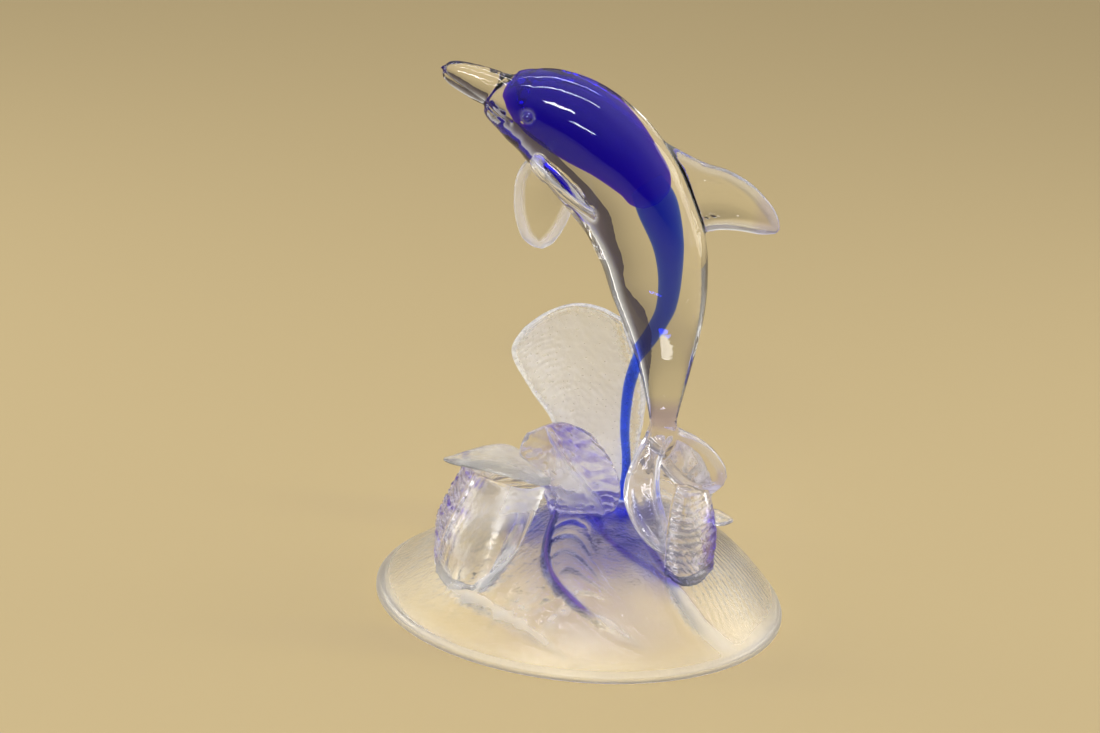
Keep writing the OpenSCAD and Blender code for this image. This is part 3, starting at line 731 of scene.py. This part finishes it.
def blade(name, keys, n, sides, mat, frost):
    """Closed leaf with lens sections; rows are (centre, half chord, half thickness)."""
    rows = smooth(keys, n)
    a = np.linspace(0, 2 * np.pi, sides, endpoint=False)
    across, through = np.cos(a)[None, :, None], np.sin(a)[None, :, None]
    ring = rows[:, None, 0] + rows[:, None, 1] * across + rows[:, None, 2] * through
    out = unit(ring - ring.mean(1, keepdims=True))
    size = np.clip(np.linalg.norm(ring - ring.mean(1, keepdims=True), axis=2, keepdims=True) / 3, 0, 1)
    ring = ring + out * (BLADE_LUMPS * grains(ring, 3.2, 2.0))[..., None] * size
    o = ringed(name, ring, mat)
    count = len(o.data.vertices)
    paint(o, frost=np.full(count, frost), tint=np.zeros(count))
    return o


# Lines pressed on the dome: (x, y, half width, height)
RIDGES = [
    [(-45, -36, 1.6, 1), (-42, -41, 2.6, 2), (-36, -47, 2.8, 2.3), (-25, -57, 2.6, 1.9), (-15, -64, 2.2, 1.3),
     (-4, -70.5, 1.2, 0.3)],
    [(-24.5, -21, 1.4, 1), (-28, -28.5, 2, 1.8), (-32, -36.5, 2.2, 2.2), (-37, -42, 2.2, 1.6)],
    [(31, -39, 2, 1), (35, -43, 3.2, 2.2), (40, -47, 3.8, 2.6), (46, -49, 3.6, 2), (56, -46.5, 2, 0.3)],
    [(7, -59, 1.8, 1.6), (14, -61.5, 1.8, 1.4), (19, -63, 1.4, 0.8), (25, -64, 1, 0.2)]]
SPINE = [(-11.4, 4, 1, 1), (-12, -9, 1.3, 2), (-13.6, -23, 1.5, 2.6), (-13.4, -36, 1.6, 2.6),
         (-9.4, -46, 1.7, 2.2), (-2, -54, 1.5, 1.7), (8, -61, 1.1, 0.9)]
# Strokes of blue in the glass: (x, y, half width, strength)
BLUE = [
    [(-14, 6, 3, 1), (-4, -3, 3.6, 1), (3, -14, 3.2, 1), (8, -25, 2.6, 1), (16, -33, 2.6, 0.9),
     (25, -36.5, 2.6, 0.9), (33, -40, 2.2, 0.9)],
    [(13, 2, 3.4, 1), (17, -12, 2.6, 1), (21, -23, 2.4, 0.9), (26, -31, 2.6, 0.9), (33, -38, 2.6, 0.9)],
    [(-10, 4, 4, 1), (0, -1, 5.5, 1), (8, -5, 6, 1), (13, 1, 4.5, 1)]]


def strokes(x, y, lines):
    """Height of tapered lines at a place, and how much the place lies on one."""
    high = np.zeros(x.shape)
    on = np.zeros(x.shape)
    for keys in lines:
        rows = smooth(keys, 5)
        best = np.full(x.shape, 1e9)
        top = np.zeros(x.shape)
        for a, b in zip(rows[:-1], rows[1:]):
            d = b[:2] - a[:2]
            t = np.clip(((x - a[0]) * d[0] + (y - a[1]) * d[1]) / (d @ d), 0, 1)
            q = np.hypot(x - a[0] - t * d[0], y - a[1] - t * d[1]) / (a[2] + t * (b[2] - a[2]))
            w = q < best
            best = np.where(w, q, best)
            top = np.where(w, a[3] + t * (b[3] - a[3]), top)
        shape = np.exp(-(best * 1.15) ** 2.6)
        high = np.maximum(high, top * shape)
        on = np.maximum(on, shape * np.clip(top, 0, 1))
    return high, on


def oval(x, y, cx, cy, rx, ry, turn=0.0, power=1.5):
    """1 in the middle of a soft oval, 0 outside it."""
    c, s = math.cos(math.radians(turn)), math.sin(math.radians(turn))
    a, b = (x - cx) * c + (y - cy) * s, -(x - cx) * s + (y - cy) * c
    return np.exp(-((a / rx) ** 2 + (b / ry) ** 2) ** power)


def foot_relief(x, y):
    """Lift, frost and tint of the dome's top."""
    rho = np.hypot(x, y)
    th = np.arctan2(y, x)
    p = np.stack([x, y, 0 * x], -1)
    ridge, on_ridge = strokes(x, y, RIDGES)
    spine, on_spine = strokes(x, y, [SPINE])
    on = np.maximum(on_ridge, on_spine)
    keys = np.array(SPINE)[::-1]
    off = x - np.interp(y, keys[:, 1], keys[:, 0])
    leaf = band(off, 0.5, 17, 4) * band(y, -61, -8, 7)
    arcs = rib((y + 0.13 * (off - 6) ** 2 + 22.5 + 1.1 * grains(p, 11, 3.0)) / 8.6, 2.6)
    arcs = arcs * (0.75 + 0.5 * grains(p, 8, 6.0))
    right = band(th, -0.95, 0.7, 0.5) * band(rho, 38, 99, 12)
    ripples = rib(th * 20 + 0.07 * rho + 0.35 * grains(p, 14, 2.0), 1.5) * (0.03 + 0.15 * right)
    flow = oval(x, y, -14, -54, 17, 9) + 0.7 * oval(x, y, -38, -38, 14, 11)
    plain = (1 - on) * (1 - leaf)
    lumps = (0.9 * grains(p, 4, 1.0) * flow + 0.1 * grains(p, 6, 3.0)) * plain
    lift = (ridge + spine + leaf * (1.2 + 0.5 * arcs) * (1 - on) + ripples * plain + lumps
            + 0.22 * grains(p, 2.6, 5.0) * on_ridge)
    stipple = oval(x, y, -21, -3, 7, 13, 12)
    crackle = oval(x, y, 30.5, -37, 6.5, 4.5, -40)
    lift += 0.16 * stipple * grains(p, 1.3, 2.0) + 0.35 * crackle * grains(p, 2, 4.0)
    _, blue = strokes(x, y, BLUE)
    flank = np.clip((rho - 42) / 16, 0, 1) * (1 - band(th, -2.5, -0.75, 0.6))
    frost = (0.08 + 0.3 * flank + np.where(x > 28, 0.6, 0.45) * on_ridge + 0.2 * leaf * np.clip(arcs, 0, 1)
             + 0.3 * stipple + 0.5 * flow * np.clip(grains(p, 5, 2), 0, 1))
    tint = np.maximum.reduce([
        blue, 1.1 * on_spine * band(y, -58, 9, 4),
        leaf * (0.26 + 0.22 * np.clip(-arcs * 1.6, 0, 1)) * band(y, -44, 9, 8),
        0.45 * oval(x, y, 15, -20, 6, 12, 15), 0.5 * oval(x, y, 8, -32, 25, 15, 4),
        stipple * np.clip(0.45 + 0.5 * grains(p, 1.6, 2.0), 0, 1),
        crackle * np.clip(0.7 + 0.5 * grains(p, 2, 4.0), 0, 1)])
    return lift * band(rho, -1, 68, 5), frost, tint


def foot_top(x, y):
    """Height of the dome with all that is pressed on it."""
    return dome_z(x, y) + foot_relief(x, y)[0]


def make_foot(mat):
    """The whole foot as rings of one closed shell: underside, ground rim, outer edge, top."""
    n = 560
    a = np.arange(n) * 2 * np.pi / n
    inner_r, corner = FOOT_R - RIM_W, RIM_H / 3
    q = FOOT_R / inner_r

    def ring(r, f):
        x, y = r * np.cos(a), r * np.sin(a)
        return np.stack([x, y, 0 * x + f(x, y)], -1)

    def flat(z):
        return lambda x, y: z

    rings = [ring(inner_r * k, lambda x, y: RIM_H + (dome_z(x * q, y * q) - RIM_H) * 0.8)
             for k in np.linspace(0.03, 0.99, 36)]
    rings += [ring(inner_r, flat(z)) for z in (RIM_H, RIM_H / 2, 0)]
    rings.append(ring(inner_r + RIM_W / 3, flat(0)))
    for z, start, count in ((corner, -90, 7), (RIM_H - corner, 0, 5)):
        for k in range(count):
            t = math.radians(start + 15 * k)
            rings.append(ring(FOOT_R - corner + corner * math.cos(t), flat(z + corner * math.sin(t))))
    rings += [ring(r, lambda x, y: np.maximum(RIM_H * 0.99, foot_top(x, y)))
              for r in np.linspace(FOOT_R * 0.987, 1.5, 118)]
    o = ringed("foot_glass", np.array(rings), mat)
    v = np.empty(len(o.data.vertices) * 3)
    o.data.vertices.foreach_get("co", v)
    v = v.reshape(-1, 3) / MM
    rho = np.hypot(v[:, 0], v[:, 1])
    _, frost, tint = foot_relief(v[:, 0], v[:, 1])
    top = v[:, 2] > dome_z(v[:, 0], v[:, 1]) - 1
    frost = frost * top + 0.25 * np.clip((rho - 69) / 4, 0, 1) + 0.1 * np.clip(grains(v, 9, 2.0), 0, 1)
    frost = np.maximum(frost, 0.8 * np.clip((rho - 73) / 1, 0, 1))
    paint(o, frost=frost, tint=tint * top)
    return o


# Lobes of the blue pool: (x, y, half length, half width, turn, depth)
POOL = [(2, -3, 20, 9, -12, 4.4), (17, -26, 22, 7, -50, 2.6), (-20, -8, 8, 15, 20, 2.4),
        (4, -32, 28, 15, 4, 1), (8, 6, 20, 12, 0, 2.6)]


def pool_depth(x, y):
    """Depth of the blue glass inside the top of the foot."""
    return np.maximum.reduce([deep * oval(x, y, *lobe, 1.3) for *lobe, deep in POOL])


def make_pool(mat):
    """Blue glass cast inside the foot, under its clear skin."""
    n, m = 160, 50
    a = np.arange(n) * 2 * np.pi / n
    cx, cy, out = 4, -20, 46
    skin = 0.5

    def layer(k, deep):
        x, y = cx + k * out * np.cos(a), cy + k * out * 0.8 * np.sin(a)
        lumps = 1 + 0.15 * grains(np.stack([x, y, 0 * x], -1), 7, 2.0)
        h = pool_depth(x, y) * lumps * (1 - k ** 6) + 0.02
        top = dome_z(x, y) - skin
        return np.stack([x, y, top - (h if deep else 0)], -1)

    rings = [layer(k, True) for k in np.linspace(0.02, 1, m)]
    rings += [layer(k, False) for k in np.linspace(0.99, 0.02, m)]
    return ringed("cobalt_pool_glass", np.array(rings), mat)


# ---------------------------------------------------------------- materials
def glass(name, colour=(1, 1, 1), rough=0.0, ior=1.5, lamp=(0.92, 0.92, 0.9)):
    """Glass that lets the lamps through, weakened by lamp at each face."""
    m = bpy.data.materials.new(name)
    t, out = nodes_of(m)
    b = t.nodes.new("ShaderNodeBsdfPrincipled")
    b.inputs["Base Color"].default_value = (*colour, 1)
    b.inputs["Roughness"].default_value = rough
    b.inputs["IOR"].default_value = ior
    b.inputs["Transmission Weight"].default_value = 1
    path = t.nodes.new("ShaderNodeLightPath")
    through = t.nodes.new("ShaderNodeBsdfTransparent")
    through.inputs["Color"].default_value = (*lamp, 1)
    mix = t.nodes.new("ShaderNodeMixShader")
    t.links.new(path.outputs["Is Shadow Ray"], mix.inputs[0])
    t.links.new(b.outputs[0], mix.inputs[1])
    t.links.new(through.outputs[0], mix.inputs[2])
    t.links.new(mix.outputs[0], out.inputs["Surface"])
    return m, t, out, b


def bump(t, b, scale, strength, dist, detail):
    co = t.nodes.new("ShaderNodeTexCoord")
    nz = t.nodes.new("ShaderNodeTexNoise")
    nz.inputs["Scale"].default_value = scale
    nz.inputs["Detail"].default_value = detail
    bp = t.nodes.new("ShaderNodeBump")
    bp.inputs["Strength"].default_value = strength
    bp.inputs["Distance"].default_value = dist
    t.links.new(co.outputs["Object"], nz.inputs["Vector"])
    t.links.new(nz.outputs[0], bp.inputs["Height"])
    t.links.new(bp.outputs[0], b.inputs["Normal"])


def value(t, attribute, stops):
    """Ramp over one of the values painted on a mesh."""
    a = t.nodes.new("ShaderNodeAttribute")
    a.attribute_name = attribute
    r = ramp(t, stops)
    t.links.new(a.outputs["Fac"], r.inputs[0])
    return r.outputs[0]


def grey(x):
    return (x, x, x)


# Colour over the tint value: clear crystal, violet stain and blue stain
CRYSTAL = (0.99, 0.992, 0.985)
PRESSED = (0.98, 0.98, 0.97)
VIOLETS = [(0, PRESSED), (0.25, (0.7, 0.67, 0.9)), (0.6, (0.34, 0.28, 0.84)), (1, (0.08, 0.03, 0.74))]
TINTS = [(0, PRESSED), (0.25, (0.66, 0.71, 0.94)), (0.6, (0.3, 0.33, 0.9)), (1, (0.07, 0.03, 0.78))]


def drive(t, b, socket, attribute, stops):
    """Let a painted value set a socket of the shader."""
    t.links.new(value(t, attribute, stops), b.inputs[socket])


def clear_glass():
    """Polished crystal: the frost value mists its rims as a painted highlight and rings the near eye as a
    painted reflection, the tint value stains it.
    """
    m, t, out, b = glass("clear_crystal", CRYSTAL, 0.0, 1.5)
    bump(t, b, 60, 0.05, 0.0008, 1)
    drive(t, b, "Roughness", "frost", [(0, grey(0)), (1, grey(0.35))])
    drive(t, b, "Transmission Weight", "frost", [(0, grey(1)), (1, grey(0.4))])
    drive(t, b, "Base Color", "tint", [(0, CRYSTAL), (1, (0.6, 0.55, 0.96))])
    return m


def pressed_glass(name, rough, clear_share, grain, grain_depth, strength, tints):
    """Cast glass: the frost value makes it rough and milky, the tint value cobalt blue."""
    m, t, out, b = glass(name, PRESSED, 0.1, 1.5)
    bump(t, b, grain, strength, grain_depth, 4)
    drive(t, b, "Roughness", "frost", [(0, grey(rough[0])), (1, grey(rough[1]))])
    drive(t, b, "Transmission Weight", "frost", [(0.15, grey(clear_share[0])), (1, grey(clear_share[1]))])
    drive(t, b, "Base Color", "tint", tints)
    return m


def tinted_glass(name, colour, density, haze=0.0, skin=(1, 1, 1)):
    """Coloured glass cast inside clear glass: it bends no light, and its depth and haze colour it."""
    m, t, out, b = glass(name, skin, 0.0, 1.0, (1, 1, 1))
    b.inputs["Transmission Weight"].default_value = 1 - haze
    v = t.nodes.new("ShaderNodeVolumeAbsorption")
    v.inputs["Color"].default_value = (*colour, 1)
    v.inputs["Density"].default_value = density
    t.links.new(v.outputs[0], out.inputs["Volume"])
    return m


clear = clear_glass()
frosted = pressed_glass("frosted_crystal", (0.03, 0.45), (1.0, 0.5), 700, 0.0004, 0.5, TINTS)
rippled = pressed_glass("rippled_crystal", (0.02, 0.4), (1.0, 0.7), 500, 0.0004, 0.4, VIOLETS)
foot_crystal = pressed_glass("foot_crystal", (0.05, 0.5), (1.0, 0.6), 900, 0.00025, 0.5, TINTS)
violet_cobalt = tinted_glass("violet_cobalt", (0.28, 0.04, 0.97), 430, 0.028, (0.3, 0.1, 1))
blue_cobalt = tinted_glass("blue_cobalt", (0.02, 0.3, 0.98), 400, 0.012, (0.3, 0.42, 1))
pool_cobalt = tinted_glass("cobalt_pool_glass", (0.16, 0.18, 0.98), 480)

# ---------------------------------------------------------------- pieces
# Cobalt glass along its length as (x, z, radius)
CORE = [(-42, 188.6, 1.4), (-39.6, 188.6, 4.6), (-35, 188, 7.8), (-29, 186.4, 9.8), (-21, 183, 11),
        (-12, 178, 11), (-3, 172, 9.8), (6, 163.6, 7.8), (9.6, 158.8, 6.9), (11.8, 155.6, 4.6),
        (12.6, 154.4, 1.2)]
THREAD = [(8.4, 160.4, 5), (13, 153, 5.8), (18, 141, 4.5), (20.2, 129.7, 3.4), (20.6, 118.5, 2.9),
          (19, 110.8, 2.6), (16.4, 103, 2.4), (13.4, 96, 2.3), (11.4, 88, 2.2), (10.6, 80, 2), (10.8, 68, 1.7), (12.4, 57, 1.6),
          (13, 48, 2), (12, 41.6, 3)]

# Small closed leaves as (centre, half chord, half thickness)
SHELF = [
    ((-53.4, -7, 53), (0.2, 1, 0), (0, 0, 0.5)), ((-49.6, -7, 53.4), (1, 4.4, 0.2), (0, 0, 1)),
    ((-43, -6.4, 54.4), (1.6, 8.4, 0.8), (0, 0, 1.4)), ((-34, -6, 54.8), (1.6, 13, 0.8), (0, 0, 1.7)),
    ((-26, -8, 53.4), (1, 12.4, 0.4), (0, 0, 1.8)), ((-18.4, -11, 51), (0.4, 8.4, 0), (0, 0, 1.5)),
    ((-14.2, -12, 50), (0.1, 3, 0), (0, 0, 0.8))]
SPRAY = [
    ((42, -13, 42.6), (0.8, 1.8, 2.2), (0.1, 1.2, -1)), ((46, -13.6, 42), (0.8, 2.2, 2.2), (0.1, 1.1, -1)),
    ((50, -14, 41.8), (0.4, 1.6, 1.5), (0.1, 0.8, -0.8)),
    ((52.6, -14.2, 41.8), (0.1, 0.4, 0.4), (0, 0.3, -0.3))]


def spindle(name, rows, sides, mat):
    """Closed round solid along rows of (x, z, radius) in the plane of symmetry."""
    c = np.stack([rows[:, 0], 0 * rows[:, 0], rows[:, 1]], 1)
    t = unit(np.gradient(c, axis=0))
    u = np.stack([t[:, 2], 0 * t[:, 0], -t[:, 0]], 1)
    a = np.linspace(0, 2 * np.pi, sides, endpoint=False)
    r = rows[:, 2][:, None, None]
    across, through = np.cos(a)[None, :, None], np.sin(a)[None, :, None]
    ring = c[:, None] + u[:, None] * r * across + np.array([0, 1, 0]) * r * through
    return ringed(name, ring, mat)


def place(piece, slot, *nodes):
    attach(piece, "root")
    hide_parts(*nodes)


place(make_dolphin(clear), "clear_glass", "dolphin_body", "dorsal_fin", "left_flipper", "right_flipper",
      "left_fluke", "right_fluke", "left_eye", "right_eye")
place(spindle("cobalt_core_glass", smooth(CORE, 8), 40, violet_cobalt), "cobalt_glass", "cobalt_core")
place(spindle("cobalt_thread_glass", smooth(THREAD, 8), 40, blue_cobalt), "cobalt_glass", "cobalt_thread")
place(make_foot(foot_crystal), "frosted_glass", "foot_rim", "foot_dome", "left_ridge", "right_ridge",
      "front_rib_wave")
place(make_pool(pool_cobalt), "cobalt_glass", "cobalt_pool")
place(plate("tall_wave_glass", TALL, 6.0, tall_relief, frosted), "frosted_glass", "tall_wave")
place(plate("curl_wave_glass", CURL, 5.0, curl_relief, rippled, 0.45), "frosted_glass", "curl_wave")
place(plate("left_wall_glass", WALL, 3.8, wall_relief, rippled, 0.5, 2.4, 0.3, 0.25),
      "frosted_glass", "left_wall_wave")
place(plate("right_rib_glass", RIGHT, 3.4, right_relief, rippled, 0.45, 2.4, 0.1, 0.1),
      "frosted_glass", "right_rib_wave")
place(plate("back_left_glass", BACK_LEFT, 5.6, back_relief, rippled), "frosted_glass", "back_left_wave")
place(plate("back_right_glass", BACK_RIGHT, 5.6, back_relief, rippled), "frosted_glass", "back_right_wave")
place(blade("left_shelf_glass", SHELF, 8, 48, frosted, 0.22), "frosted_glass", "left_shelf_wave")
place(blade("spray_tip_glass", SPRAY, 10, 32, frosted, 0.22), "frosted_glass", "spray_tip")
